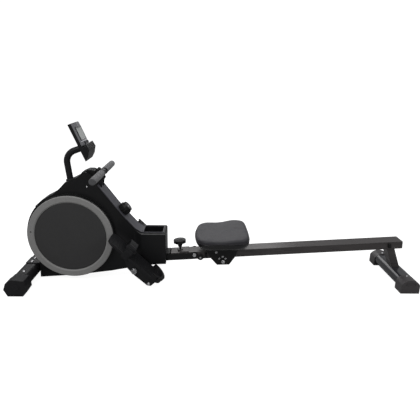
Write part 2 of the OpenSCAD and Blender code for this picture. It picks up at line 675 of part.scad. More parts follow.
module lock_knob() color("#161616") rail_frame() translate([-knob_u, 0, 0]) {
  difference() {
    union() {
      translate([0, 0, rail_top + collar_h + 34]) cylinder(r = 31, h = 15);
      translate([0, 0, rail_top + collar_h + 49]) rotate_extrude() intersection() {
        translate([0, -61]) circle(68);
        square([29, 7]);
      }
    }
    for (a = [0:45:315]) rotate([0, 0, a]) translate([35, 0, 48]) cylinder(r = 6.5, h = 22.9);
  }
  translate([0, 0, rail_top + collar_h + 12]) cylinder(r1 = 9, r2 = 15, h = 22.1);
  translate([0, 0, -tongue_t - 1]) cylinder(r = stem_r, h = rail_top + collar_h + 20);
  translate([0, -tongue_w / 2, -tongue_t - 1]) cube([tongue_reach, tongue_w, tongue_t]);
}

// ---- seat ----
module carriage() color("#1a1a1c") rail_frame() {
  both_sides() slab(carriage_in, carriage_in + carriage_t) polygon([[carriage_front, 20],
    [carriage_front + 16, -18], [111, -57], [173, -59], [203, -20], [carriage_rear, 20],
    [carriage_rear, carriage_top], [carriage_front, carriage_top]]);
  box([carriage_front, -carriage_in, carriage_top - carriage_t], [carriage_rear, carriage_in, carriage_top]);
  for (p = [[roller_u[0], upper_axle_w], [roller_u[1], upper_axle_w], [roller_u[2], lower_axle_w]]) {
    mid_rod(p, roller_axle_r, carriage_in + carriage_t + 6);
    both_sides() translate([p[0], carriage_in + carriage_t, p[1]]) rotate([-90, 0, 0])
      cylinder(r = 9, h = 4, $fn = 6);
  }
}
module roller(u, w) color("#8c8c8e") rail_frame() turned([u, w], [[roller_axle_r + run_gap, -40],
  [12, -40], [12, -34], [roller_r, -34], [roller_r, -16], [12, -16], [12, 16], [roller_r, 16],
  [roller_r, 34], [12, 34], [12, 40], [roller_axle_r + run_gap, 40]]);
module roller_front() roller(roller_u[0], upper_axle_w);
module roller_rear() roller(roller_u[1], upper_axle_w);
module roller_lower() roller(roller_u[2], lower_axle_w);
function spline(a, b, c, d, t) = 0.5 * (2 * b + (c - a) * t + (2 * a - 5 * b + 4 * c - d) * t * t
  + (3 * b - a - 3 * c + d) * t * t * t);
seat_side = [for (p = [[1.5, 45], [7.5, 85], [18.5, 115], [35.5, 136], [60.5, 145], [110.5, 149],
  [160.5, 154], [195.5, 158], [222.5, 156], [242.5, 146], [255.5, 127], [261.5, 100], [264, 60]])
  [p[0] * seat_len / 265, p[1] * seat_w / 318]];
seat_ring = concat([[0, 0]], seat_side, [[seat_len, 0]], [for (p = reversed(seat_side)) [p[0], -p[1]]]);
// Seat outline as seen from above, grown outwards by the given amount
module seat_outline(grow) {
  n = len(seat_ring);
  c = [seat_len / 2, 0];
  k = [1 + 2 * grow / seat_len, 1 + 2 * grow / seat_w];
  translate([seat_front, 0]) polygon([for (i = [0:n - 1], t = [0:0.34:0.7])
    let (p = spline(seat_ring[(i + n - 1) % n], seat_ring[i], seat_ring[(i + 1) % n],
      seat_ring[(i + 2) % n], t)) [c[0] + (p[0] - c[0]) * k[0], p[1] * k[1]]]);
}
module seat_pan() color("#0f0f10") rail_frame() hull() {
  translate([0, 0, pad_low - 3]) linear_extrude(3, $fn = 32) seat_outline(-8);
  translate([0, 0, carriage_top]) linear_extrude(1)
    translate([carriage_front - 25, -88]) square([carriage_rear - carriage_front + 45, 176]);
}
module seat_pad() color("#4b494e") rail_frame() translate([0, 0, pad_low])
  linear_extrude(pad_t) seat_outline(0);

main_frame();
hinge_bracket();
axle_plates();
front_stabiliser();
front_cap_left();
front_cap_right();
stabiliser_bolts();
cover_left();
cover_right();
slope_cover();
tray_box();
roller_hood();
ring_left();
ring_right();
disc_left();
disc_right();
cover_screws();
handle_cradle();
console_arm();
console_back();
console_face();
lcd_screen();
pedal_axle();
pedal_nuts();
wheel_axles();
drive_belt();
pull_strap();
hinge_bolts();
guide_roller();
strap_reel();
drive_pulley();
flywheel();
magnet_bracket();
tension_knob();
handle_bar();
grip_left();
grip_right();
strap_clamp();
pedal_left();
pedal_right();
foot_strap_left();
foot_strap_right();
button_left();
button_middle();
button_right();
rail_beam();
hinge_lugs();
rail_end_cap();
rear_post();
rear_stabiliser();
rear_caps();
rear_bolts();
seat_stops();
lock_knob();
carriage();
seat_pan();
seat_pad();
roller_front();
roller_rear();
roller_lower();
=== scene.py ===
"""Looks of a folding magnetic rowing machine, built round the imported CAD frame. Lengths are in millimetres
until a mesh is made, because the CAD is, and in metres after that."""
import json
import math

import bmesh
import bpy
from mathutils import Matrix, Vector


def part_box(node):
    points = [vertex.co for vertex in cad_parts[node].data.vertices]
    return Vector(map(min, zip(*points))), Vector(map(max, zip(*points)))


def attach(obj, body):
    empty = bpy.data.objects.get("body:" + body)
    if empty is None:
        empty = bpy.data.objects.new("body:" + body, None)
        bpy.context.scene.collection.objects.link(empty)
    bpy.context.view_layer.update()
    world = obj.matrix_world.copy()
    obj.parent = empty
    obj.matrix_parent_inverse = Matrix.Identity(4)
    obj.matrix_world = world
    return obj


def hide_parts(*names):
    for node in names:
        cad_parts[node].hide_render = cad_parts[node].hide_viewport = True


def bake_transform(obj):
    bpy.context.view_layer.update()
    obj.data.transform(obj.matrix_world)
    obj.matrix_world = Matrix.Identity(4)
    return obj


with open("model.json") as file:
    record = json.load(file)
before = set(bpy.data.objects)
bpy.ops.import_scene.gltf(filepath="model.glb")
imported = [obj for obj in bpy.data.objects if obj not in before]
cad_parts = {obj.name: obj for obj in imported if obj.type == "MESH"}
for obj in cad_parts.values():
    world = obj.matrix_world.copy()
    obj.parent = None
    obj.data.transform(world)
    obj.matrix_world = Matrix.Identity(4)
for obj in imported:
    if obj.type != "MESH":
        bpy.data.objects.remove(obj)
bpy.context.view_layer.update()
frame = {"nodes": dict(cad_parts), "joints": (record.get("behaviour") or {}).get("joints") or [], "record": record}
nodes = frame["nodes"]
scene = bpy.context.scene
MM = 0.001
SIDES = ((-1, "left"), (1, "right"))


# ---- places, from the frame where it gives them ----
def joint_place(name):
    """A joint's point, in mm."""
    return tuple(c / MM for c in next(j["pos_m"] for j in frame["joints"] if j["name"] == name))


def middle_x(node):
    low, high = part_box(node)
    return (low[0] + high[0]) / 2 / MM


def at(x, y, z):
    return Matrix.Translation(Vector((x, y, z)) * MM)


def turn_frame(origin, degrees):
    return at(*origin) @ Matrix.Rotation(math.radians(degrees), 4, "Y")


# frames with X along the piece and Z out of it, and how far in degrees each leans from the floor
RAIL_LEAN, CONSOLE_LEAN, KNOB_LEAN, PEDAL_LEAN = -3.6, 67, 51, 44
WORLD = Matrix.Identity(4)
RAIL = turn_frame(joint_place("rail_fold"), RAIL_LEAN)
CONSOLE = turn_frame((-682, 0, 764), CONSOLE_LEAN)
KNOB = turn_frame(joint_place("tension_turn"), KNOB_LEAN)
PEDALS = {word: turn_frame(joint_place(f"pedal_{word}_tilt"), PEDAL_LEAN) for _, word in SIDES}
DRUM_X, _, DRUM_Z = joint_place("pulley_spin")
HANDLE_X, HANDLE_Z = -549.0, 539.0
FRONT_FOOT_X, REAR_FOOT_X = middle_x("front_stabiliser"), middle_x("rear_stabiliser")


# ---- camera, light and floor ----
SKY_LIGHT, SKY_SHOWN = 0.32, 1.1
FLOOR_GLOW = 0.93


def make_camera():
    yaw, pitch, roll = (math.radians(a) for a in (-1.7, 17.2, 1.1))
    right = Vector((math.cos(yaw), math.sin(yaw), 0))
    ahead = Vector((-math.sin(yaw), math.cos(yaw), 0))
    up = ahead * math.sin(pitch) + Vector((0, 0, math.cos(pitch)))
    back = Vector((0, 0, math.sin(pitch))) - ahead * math.cos(pitch)
    x = right * math.cos(roll) + up * math.sin(roll)
    y = up * math.cos(roll) - right * math.sin(roll)
    data = bpy.data.cameras.new("camera")
    data.lens, data.sensor_width = 35.67, 36.0
    data.clip_start, data.clip_end = 0.05, 60
    cam = bpy.data.objects.new("camera", data)
    scene.collection.objects.link(cam)
    turn = Matrix((x, y, back)).transposed().to_4x4()
    cam.matrix_world = Matrix.Translation((-0.0912, -1.9713, 0.9634)) @ turn
    scene.camera = cam


def softbox(name, place, aim, size, power):
    data = bpy.data.lights.new(name, "AREA")
    data.shape = "RECTANGLE"
    data.size, data.size_y = size
    data.energy = power
    light = bpy.data.objects.new(name, data)
    scene.collection.objects.link(light)
    light.location = place
    light.rotation_euler = (Vector(aim) - Vector(place)).to_track_quat("-Z", "Y").to_euler()


def camera_ray(tree):
    return tree.nodes.new("ShaderNodeLightPath").outputs["Is Camera Ray"]


def make_studio():
    """A white sweep that shows white, but throws back less light than it shows, so black stays black."""
    scene.view_settings.view_transform = "Standard"
    world = bpy.data.worlds.new("studio")
    world.use_nodes = True
    scene.world = world
    sky = world.node_tree.nodes["Background"]
    sky.inputs[0].default_value = (0.98, 0.99, 1.0, 1)
    level = world.node_tree.nodes.new("ShaderNodeMapRange")
    level.inputs["To Min"].default_value = SKY_LIGHT
    level.inputs["To Max"].default_value = SKY_SHOWN
    world.node_tree.links.new(camera_ray(world.node_tree), level.inputs["Value"])
    world.node_tree.links.new(level.outputs[0], sky.inputs[1])
    softbox("key", (-1.5, -2.2, 2.9), (-0.2, 0, 0.3), (1.6, 1.6), 40)
    softbox("fill", (2.4, -2.0, 1.9), (0.2, 0, 0.2), (1.8, 1.2), 16)
    softbox("top", (0.1, 0.5, 3.0), (0, 0, 0.2), (3.2, 1.4), 34)
    softbox("rim", (-0.6, 2.6, 1.8), (0, 0, 0.3), (3.0, 1.0), 18)
    mesh = bpy.data.meshes.new("studio_floor")
    half = 40.0
    corners = [(-half, -half, 0), (half, -half, 0), (half, half, 0), (-half, half, 0)]
    mesh.from_pydata(corners, [], [(0, 1, 2, 3)])
    floor = bpy.data.objects.new("studio_floor", mesh)
    scene.collection.objects.link(floor)
    mat = bpy.data.materials.new("studio_white")
    mat.use_nodes = True
    tree = mat.node_tree
    shader = tree.nodes["Principled BSDF"]
    shader.inputs["Base Color"].default_value = (0.36, 0.36, 0.36, 1)
    shader.inputs["Roughness"].default_value = 0.9
    shader.inputs["Specular IOR Level"].default_value = 0.0
    shader.inputs["Emission Color"].default_value = (1, 1, 1, 1)
    glow = tree.nodes.new("ShaderNodeMapRange")
    glow.inputs["To Max"].default_value = FLOOR_GLOW
    tree.links.new(camera_ray(tree), glow.inputs["Value"])
    tree.links.new(glow.outputs[0], shader.inputs["Emission Strength"])
    mesh.materials.append(mat)


# ---- materials ----
class Tree:
    """Short hand for a material's node tree."""

    def __init__(self, name):
        self.mat = bpy.data.materials.new(name)
        self.mat.use_nodes = True
        self.tree = self.mat.node_tree
        self.shader = self.tree.nodes["Principled BSDF"]
        self.coords = self.add("TexCoord")

    def add(self, kind, **props):
        node = self.tree.nodes.new("ShaderNode" + kind)
        for key, value in props.items():
            setattr(node, key, value)
        return node

    def link(self, a, b):
        self.tree.links.new(a, b)

    def noise(self, scale, detail=3.0, rough=0.5, stretch=None):
        node = self.add("TexNoise")
        node.inputs["Scale"].default_value = scale
        node.inputs["Detail"].default_value = detail
        node.inputs["Roughness"].default_value = rough
        self.place(node, stretch)
        return node.outputs["Fac"]

    def place(self, node, stretch=None, space="Object"):
        if stretch is None:
            self.link(self.coords.outputs[space], node.inputs["Vector"])
            return
        mapping = self.add("Mapping")
        mapping.inputs["Scale"].default_value = stretch
        self.link(self.coords.outputs[space], mapping.inputs["Vector"])
        self.link(mapping.outputs[0], node.inputs["Vector"])

    def remap(self, value, low, high, out_low=0.0, out_high=1.0):
        node = self.add("MapRange")
        levels = {"From Min": low, "From Max": high, "To Min": out_low, "To Max": out_high}
        for key, number in levels.items():
            node.inputs[key].default_value = number
        self.link(value, node.inputs["Value"])
        return node.outputs[0]

    def math(self, operation, a, b):
        node = self.add("Math", operation=operation)
        for socket, value in zip(node.inputs, (a, b)):
            if isinstance(value, (int, float)):
                socket.default_value = value
            else:
                self.link(value, socket)
        return node.outputs[0]

    def blend(self, fac, a, b):
        node = self.add("Mix", data_type="RGBA")
        self.link(fac, node.inputs[0])
        for socket, value in ((node.inputs[6], a), (node.inputs[7], b)):
            if isinstance(value, (tuple, list)):
                socket.default_value = (*value, 1)
            else:
                self.link(value, socket)
        return node.outputs[2]

    def edges(self, radius):
        """A mask that is 1 on sharp edges and 0 on flats, and the rounded normal that it comes from."""
        soft = self.add("Bevel", samples=6)
        soft.inputs["Radius"].default_value = radius
        true = self.add("NewGeometry")
        dot = self.add("VectorMath", operation="DOT_PRODUCT")
        self.link(soft.outputs[0], dot.inputs[0])
        self.link(true.outputs["Normal"], dot.inputs[1])
        return self.remap(dot.outputs["Value"], 0.998, 0.9, 0.0, 1.0), soft.outputs[0]

    def bump(self, height, strength, distance, normal):
        node = self.add("Bump")
        node.inputs["Strength"].default_value = strength
        node.inputs["Distance"].default_value = distance
        self.link(height, node.inputs["Height"])
        self.link(normal, node.inputs["Normal"])
        return node.outputs[0]


def mixed(color, factor):
    return tuple(min(1.0, c * factor) for c in color)


def fine_grain(t, scale):
    return t.noise(scale, 2.0, 0.6)


def cell_grain(t, scale):
    """Moulded plastic, vinyl or foam: small cells over broader unevenness."""
    cells = t.add("TexVoronoi", feature="SMOOTH_F1")
    cells.inputs["Scale"].default_value = scale
    cells.inputs["Smoothness"].default_value = 0.35
    t.place(cells)
    return t.math("ADD", cells.outputs["Distance"], t.math("MULTIPLY", t.noise(scale * 0.18, 3.0), 0.5))


def turned_grain(t, scale):
    return t.noise(scale, 2.0, 0.5, (1, 0.02, 1))


def ring_grain(t, scale):
    """Faint rings about the drum's axle."""
    rings = t.add("TexWave", wave_type="RINGS", rings_direction="Y")
    rings.inputs["Scale"].default_value = 28.0
    shift = t.add("Mapping")
    shift.inputs["Location"].default_value = (-DRUM_X * MM, 0, -DRUM_Z * MM)
    t.link(t.coords.outputs["Object"], shift.inputs["Vector"])
    t.link(shift.outputs[0], rings.inputs["Vector"])
    return t.math("ADD", t.math("MULTIPLY", rings.outputs["Fac"], 0.25), fine_grain(t, scale))


def weave_grain(t, scale):
    warp, weft = (t.add("TexWave", bands_direction=d) for d in "XY")
    for wave, threads in ((warp, 190.0), (weft, 150.0)):
        wave.inputs["Scale"].default_value = threads
        wave.inputs["Distortion"].default_value = 0.4
        t.place(wave, space="UV")
    crossings = t.math("MULTIPLY", warp.outputs["Fac"], weft.outputs["Fac"])
    return t.math("ADD", crossings, t.math("MULTIPLY", t.noise(scale, 2.0), 0.4))


def finish_of(name, color, rough, metallic=0.0, vary=0.12, vary_scale=9.0, rough_vary=0.08, grain=fine_grain,
              grain_scale=1400.0, grain_depth=0.00004, strength=0.35, edge_wear_and_highlight=0.0, edge_wear_and_highlight_tint=None,
              soft_edge=0.0012, coat=0.0, sheen=0.0, streaks=None, spec=0.28):
    """A procedural material: uneven colour and gloss, a surface grain, and edges painted lighter, partly as worn
    paint and partly as a painted edge highlight.
    """
    t = Tree(name)
    big = t.noise(vary_scale, 4.0, 0.6, streaks)
    fine = t.noise(vary_scale * 11, 3.0, 0.5, streaks)
    patch = t.math("MULTIPLY", t.math("ADD", big, fine), 0.5)
    spread = t.remap(patch, 0.32, 0.68)
    out = t.blend(spread, mixed(color, 1 - vary), mixed(color, 1 + vary))
    mask, soft_normal = t.edges(soft_edge)
    # edges painted lighter: worn paint, and also a painted highlight where the edges catch the light
    if edge_wear_and_highlight:
        chips = t.remap(t.noise(160.0, 5.0, 0.65), 0.42, 0.62)
        worn_and_highlit_edges = t.math("MULTIPLY", t.math("MULTIPLY", mask, chips), edge_wear_and_highlight)
        out = t.blend(worn_and_highlit_edges, out, edge_wear_and_highlight_tint or mixed(color, 3.5))
    t.link(out, t.shader.inputs["Base Color"])
    t.link(t.remap(patch, 0.3, 0.7, max(0.03, rough - rough_vary), min(1.0, rough + rough_vary)),
           t.shader.inputs["Roughness"])
    t.link(t.bump(grain(t, grain_scale), strength, grain_depth, soft_normal), t.shader.inputs["Normal"])
    t.shader.inputs["Metallic"].default_value = metallic
    t.shader.inputs["Specular IOR Level"].default_value = spec
    t.shader.inputs["Coat Weight"].default_value = coat
    t.shader.inputs["Coat Roughness"].default_value = 0.12
    t.shader.inputs["Sheen Weight"].default_value = sheen
    return t.mat


def make_materials():
    """Every finish, by name. The names that the record has are its material slots."""
    plastic = dict(grain=cell_grain, grain_scale=1150.0, grain_depth=0.00006, strength=0.3)
    steel = dict(metallic=1.0, vary=0.18, rough_vary=0.1, grain=fine_grain, grain_scale=900.0, strength=0.2)
    # the edge amounts and edge tints below lighten each finish's edges: worn paint, and a painted edge highlight
    looks = {
        "frame_paint": dict(color=(0.011, 0.011, 0.012), rough=0.42, vary=0.2, edge_wear_and_highlight=0.35,
                            edge_wear_and_highlight_tint=(0.06, 0.06, 0.062)),
        "bracket_paint": dict(color=(0.009, 0.009, 0.0095), rough=0.46, vary=0.25, edge_wear_and_highlight=0.5,
                              edge_wear_and_highlight_tint=(0.09, 0.09, 0.09), grain_depth=0.00007),
        "rail_paint": dict(color=(0.072, 0.066, 0.066), rough=0.3, metallic=0.35, vary=0.2, vary_scale=6.0,
                           streaks=(0.12, 1, 1), edge_wear_and_highlight=0.5, edge_wear_and_highlight_tint=(0.2, 0.2, 0.21), rough_vary=0.1),
        "rear_tube_paint": dict(color=(0.02, 0.02, 0.024), rough=0.2, vary=0.15, coat=0.6, strength=0.12,
                                edge_wear_and_highlight=0.3, edge_wear_and_highlight_tint=(0.12, 0.12, 0.13)),
        "housing_plastic": dict(color=(0.0075, 0.0075, 0.0082), rough=0.44, vary=0.15, edge_wear_and_highlight=0.45,
                                edge_wear_and_highlight_tint=(0.03, 0.03, 0.032), **plastic),
        "slope_plastic": dict(color=(0.062, 0.061, 0.072), rough=0.38, vary=0.08, edge_wear_and_highlight=0.6,
                              edge_wear_and_highlight_tint=(0.22, 0.22, 0.25), **plastic),
        "ring_plastic": dict(color=(0.27, 0.267, 0.263), rough=0.42, vary=0.07, edge_wear_and_highlight=0.5,
                             edge_wear_and_highlight_tint=(0.3, 0.29, 0.27), **plastic),
        "disc_plastic": dict(color=(0.045, 0.0445, 0.045), rough=0.5, vary=0.07, grain=ring_grain,
                             grain_scale=900.0, grain_depth=0.00012, strength=0.4),
        "cap_plastic": dict(color=(0.0095, 0.0095, 0.011), rough=0.5, vary=0.2, edge_wear_and_highlight=0.5,
                            edge_wear_and_highlight_tint=(0.05, 0.05, 0.052), **plastic),
        "rear_cap_plastic": dict(color=(0.06, 0.056, 0.058), rough=0.36, vary=0.15, edge_wear_and_highlight=0.6,
                                 edge_wear_and_highlight_tint=(0.12, 0.115, 0.11), **plastic),
        "steel_bolt": dict(color=(0.62, 0.62, 0.63), rough=0.26, edge_wear_and_highlight=0.3, edge_wear_and_highlight_tint=(0.8, 0.8, 0.8),
                           **steel),
        "console_black": dict(color=(0.009, 0.009, 0.010), rough=0.42, edge_wear_and_highlight=0.4,
                              edge_wear_and_highlight_tint=(0.05, 0.05, 0.052), **plastic),
        "console_grey": dict(color=(0.17, 0.17, 0.18), rough=0.34, vary=0.06, edge_wear_and_highlight=0.4,
                             edge_wear_and_highlight_tint=(0.4, 0.4, 0.42), **plastic),
        "lcd": dict(color=(0.46, 0.48, 0.47), rough=0.14, vary=0.05, vary_scale=30.0, strength=0.04,
                    coat=0.5),
        "button_rubber": dict(color=(0.02, 0.02, 0.022), rough=0.6, edge_wear_and_highlight=0.3, **plastic),
        "axle_steel": dict(color=(0.3, 0.3, 0.31), rough=0.33, metallic=1.0, grain=turned_grain,
                           grain_scale=2500.0, strength=0.3, vary=0.15),
        "wheel_iron": dict(color=(0.3, 0.3, 0.31), rough=0.4, metallic=1.0, vary=0.25, grain=turned_grain,
                           grain_scale=1800.0, strength=0.3),
        "magnet_steel": dict(color=(0.42, 0.42, 0.43), rough=0.38, **steel),
        "pulley_plastic": dict(color=(0.03, 0.03, 0.033), rough=0.5, **plastic),
        "belt_rubber": dict(color=(0.009, 0.009, 0.009), rough=0.7, grain_scale=600.0, strength=0.4),
        "webbing": dict(color=(0.010, 0.010, 0.011), rough=0.78, vary=0.25, vary_scale=40.0,
                        grain=weave_grain, grain_scale=2200.0, grain_depth=0.0004, strength=0.8, sheen=0.06,
                        spec=0.2),
        "knob_plastic": dict(color=(0.008, 0.008, 0.0085), rough=0.4, edge_wear_and_highlight=0.6,
                             edge_wear_and_highlight_tint=(0.06, 0.06, 0.062), **plastic),
        "foam_grip": dict(color=(0.085, 0.085, 0.09), rough=0.82, vary=0.12, vary_scale=30.0,
                          grain=cell_grain, grain_scale=1500.0, grain_depth=0.00022, strength=0.6,
                          sheen=0.25, spec=0.35),
        "handle_steel": dict(color=(0.018, 0.018, 0.019), rough=0.35, edge_wear_and_highlight=0.3),
        "pedal_plastic": dict(color=(0.0085, 0.0085, 0.0095), rough=0.48, vary=0.2, edge_wear_and_highlight=0.5,
                              edge_wear_and_highlight_tint=(0.045, 0.045, 0.05), grain=cell_grain, grain_scale=620.0,
                              grain_depth=0.00014, strength=0.5),
        "stop_rubber": dict(color=(0.008, 0.008, 0.008), rough=0.75, grain_scale=700.0, strength=0.4),
        "roller_plastic": dict(color=(0.18, 0.18, 0.185), rough=0.4, grain=turned_grain,
                               grain_scale=1500.0),
        "seat_shell": dict(color=(0.007, 0.007, 0.008), rough=0.24, vary=0.15, coat=0.4, strength=0.15,
                           grain_scale=500.0),
        "seat_vinyl": dict(color=(0.031, 0.030, 0.035), rough=0.5, vary=0.07, vary_scale=7.0,
                           grain=cell_grain, grain_scale=760.0, grain_depth=0.00035, strength=0.6,
                           sheen=0.03, soft_edge=0.0005),
        "label_grey": dict(color=(0.5, 0.5, 0.52), rough=0.4, vary=0.06, vary_scale=60.0, strength=0.1),
        "dark_inlay": dict(color=(0.02, 0.02, 0.023), rough=0.22, vary=0.1, strength=0.08, coat=0.3),
    }
    return {name: finish_of(name, **look) for name, look in looks.items()}


# ---- mesh helpers ----
def piece(name, verts, faces, body, slot, place=WORLD, mat=None, uvs=None, round_edges=0.0,
          smooth_levels=0):
    """A new mesh from points in mm in the frame `place`. It rides on a CAD body, or on none if no body is given.
    It has the slot's material, or `mat` where its own finish differs."""
    mesh = bpy.data.meshes.new(name)
    mesh.from_pydata([place @ (Vector(v) * MM) for v in verts], [], faces)
    mesh.validate()
    if uvs:
        layer = mesh.uv_layers.new(name="UVMap")
        for loop in mesh.loops:
            layer.data[loop.index].uv = uvs[loop.vertex_index]
    work = bmesh.new()
    work.from_mesh(mesh)
    bmesh.ops.recalc_face_normals(work, faces=work.faces)
    work.to_mesh(mesh)
    work.free()
    mesh.polygons.foreach_set("use_smooth", [True] * len(mesh.polygons))
    obj = bpy.data.objects.new(name, mesh)
    scene.collection.objects.link(obj)
    mesh.materials.append(materials[mat or slot])
    if round_edges:
        soften(obj, round_edges)
    if smooth_levels:
        sub = obj.modifiers.new("smooth", "SUBSURF")
        sub.levels = sub.render_levels = smooth_levels
    if body:
        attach(obj, body)
    return obj


def soften(obj, width):
    bevel = obj.modifiers.new("edge", "BEVEL")
    bevel.width, bevel.segments = width * MM, 2
    bevel.limit_method, bevel.angle_limit = "ANGLE", math.radians(32)
    bevel.use_clamp_overlap = True
    weighted = obj.modifiers.new("shade", "WEIGHTED_NORMAL")
    weighted.weight = 60


def prism(outline, low, high):
    """Points and faces of an outline of (x, y) drawn up from z low to z high."""
    n = len(outline)
    verts = [(x, y, z) for z in (low, high) for x, y in outline]
    faces = [tuple(range(n - 1, -1, -1)), tuple(range(n, 2 * n))]
    faces += [(i, (i + 1) % n, n + (i + 1) % n, n + i) for i in range(n)]
    return verts, faces


def stitch_rings(count, n):
    """Quads between `count` rings of n points each."""
    return [(k * n + i, k * n + (i + 1) % n, (k + 1) * n + (i + 1) % n, (k + 1) * n + i)
            for k in range(count - 1) for i in range(n)]


def lathe(profile, steps=48):
    """Points and faces of a profile of (radius, height) turned about Z. Closed at both ends."""
    turn = [2 * math.pi * i / steps for i in range(steps)]
    verts = [(r * math.cos(a), r * math.sin(a), z) for r, z in profile for a in turn]
    faces = stitch_rings(len(profile), steps)
    faces.append(tuple(range(steps - 1, -1, -1)))
    faces.append(tuple((len(profile) - 1) * steps + i for i in range(steps)))
    return verts, faces


def sweep(path, section, across=Vector((0, 1, 0)), closed=False):
    """A section of (across, out) points carried along a path. Gives points, faces and UVs."""
    path = [Vector(p) for p in path]
    n, m = len(path), len(section)
    verts, faces, uvs, length = [], [], [], 0.0
    for i, p in enumerate(path):
        before = path[i - 1] if i or closed else p
        after = path[(i + 1) % n] if i < n - 1 or closed else p
        along = (after - before).normalized()
        side = (across - along * across.dot(along)).normalized()
        out = side.cross(along)
        if i:
            length += (p - path[i - 1]).length
        for a, b in section:
            verts.append(p + side * a + out * b)
            uvs.append((a * MM, length * MM))
    for i in range(n if closed else n - 1):
        for j in range(m):
            a, b = i * m + j, i * m + (j + 1) % m
            c, d = ((i + 1) % n) * m + (j + 1) % m, ((i + 1) % n) * m + j
            faces.append((a, b, c, d))
    if not closed:
        faces += [tuple(range(m - 1, -1, -1)), tuple((n - 1) * m + j for j in range(m))]
    return verts, faces, uvs


def strap_section(width, thick):
    """A webbing's section: flat faces with rounded selvedges, with enough points to bend well."""
    half, t = width / 2, thick / 2
    cols = [-half + t, -half * 0.6, -half * 0.2, half * 0.2, half * 0.6, half - t]
    edge = [(half - 0.3 * t, -0.7 * t), (half, 0), (half - 0.3 * t, 0.7 * t)]
    low, high = [(x, -t) for x in cols], [(x, t) for x in reversed(cols)]
    return low + edge + high + [(-x, -y) for x, y in edge]


def joined(shapes):
    """Several shapes' points and faces as one."""
    verts, faces = [], []
    for v, f in shapes:
        faces += [tuple(i + len(verts) for i in face) for face in f]
        verts += v
    return verts, faces


def ring_section(radius, steps=12):
    return [(radius * math.cos(2 * math.pi * i / steps), radius * math.sin(2 * math.pi * i / steps))
            for i in range(steps)]


def arc(centre, radius, start, end, steps):
    return [(centre[0] + radius * math.cos(math.radians(start + (end - start) * i / steps)),
             centre[1] + radius * math.sin(math.radians(start + (end - start) * i / steps)))
            for i in range(steps + 1)]


def rounded_box(x0, x1, y0, y1, r, steps=6):
    corners = ((x1 - r, y1 - r), (x0 + r, y1 - r), (x0 + r, y0 + r), (x1 - r, y0 + r))
    return [p for i, corner in enumerate(corners) for p in arc(corner, r, 90 * i, 90 * i + 90, steps)]


def sided(place, side):
    """A frame with local Z pointing out to that side of the machine."""
    return place @ Matrix.Rotation(math.radians(-90 if side > 0 else 90), 4, "X")


def smoothstep(a, b, x):
    t = min(1.0, max(0.0, (x - a) / (b - a)))
    return t * t * (3 - 2 * t)


# ---- the CAD nodes: rounded edges and finishes ----
def dress_nodes():
    # edge radius in mm, where it isn't the usual one
    usual = 0.8
    wide = {"front_cap_left": 3, "front_cap_right": 3, "rear_caps": 2, "rail_beam": 1.6, "main_frame": 1.6,
            "rear_post": 2.5, "tray_box": 1.4, "lock_knob": 1.2, "tension_knob": 1.5, "slope_cover": 1.0,
            "console_back": 2.0, "ring_left": 1.2, "ring_right": 1.2, "hinge_bracket": 1.2,
            "pedal_left": 1.5, "pedal_right": 1.5, "cover_left": 1.2, "cover_right": 1.2, "roller_hood": 0.9}
    slot_of = {p["node"]: p["material_slot"] for p in frame["record"]["subparts"]}
    for name, obj in nodes.items():
        obj.data.materials.clear()
        obj.data.materials.append(materials[slot_of[name]])
        custom = obj.data.attributes.get("custom_normal")
        if custom:
            obj.data.attributes.remove(custom)
        obj.data.polygons.foreach_set("use_smooth", [True] * len(obj.data.polygons))
        weld = obj.modifiers.new("weld", "WELD")
        weld.merge_threshold = 0.01 * MM
        flat = obj.modifiers.new("flat", "DECIMATE")
        flat.decimate_type, flat.angle_limit = "DISSOLVE", math.radians(0.6)
        soften(obj, wide.get(name, usual))


# ---- soft goods ----
SEAT_FRONT, SEAT_LONG, SEAT_WIDE, PAD_LOW, CARRIAGE_TOP = 9.5, 265.0, 318.0, 81.0, 70.2
# one side of the seat's outline, from behind its front edge
SEAT_SIDE = [(1.5, 45), (7.5, 85), (18.5, 115), (35.5, 136), (60.5, 145), (110.5, 149), (160.5, 154),
             (195.5, 158), (222.5, 156), (242.5, 146), (255.5, 127), (261.5, 100), (264, 60)]
# height of the pad's top along the rail
PAD_TOP = [(9, 105.5), (28, 110.5), (62, 111.5), (132, 107.5), (212, 114.5), (250, 113.5), (276, 110)]


def seat_loop(inset, steps=4):
    """The seat's outline in the rail frame, drawn in by `inset`."""
    far_side = [(x, -y) for x, y in reversed(SEAT_SIDE)]
    ring = [Vector(q) for q in [(0, 0)] + SEAT_SIDE + [(SEAT_LONG, 0)] + far_side]
    n, mid = len(ring), Vector((SEAT_LONG / 2, 0))
    kx, ky = 1 - 2 * inset / SEAT_LONG, 1 - 2 * inset / SEAT_WIDE
    pts = []
    for i in range(n):
        a, b, c, d = ring[i - 1], ring[i], ring[(i + 1) % n], ring[(i + 2) % n]
        for k in range(steps):
            t = k / steps
            bend, twist = 2 * a - 5 * b + 4 * c - d, 3 * b - a - 3 * c + d
            q = 0.5 * (2 * b + (c - a) * t + bend * t * t + twist * t ** 3) - mid
            pts.append((SEAT_FRONT + mid.x + q.x * kx, q.y * ky))
    return pts


def seat_height(x, y):
    """Top of the pad: dipped where the rower sits, raised in two humps at the tail."""
    rise = PAD_TOP[0][1]
    for (x0, h0), (x1, h1) in zip(PAD_TOP, PAD_TOP[1:]):
        rise += (h1 - h0) * smoothstep(x0, x1, x)
    dish = -2.4 * math.exp(-(y / 80) ** 2)
    side = -3.5 * smoothstep(105, 160, abs(y))
    channel = -2.0 * math.exp(-(y / 15) ** 2) * smoothstep(90, 190, x)
    return rise + dish + side + channel


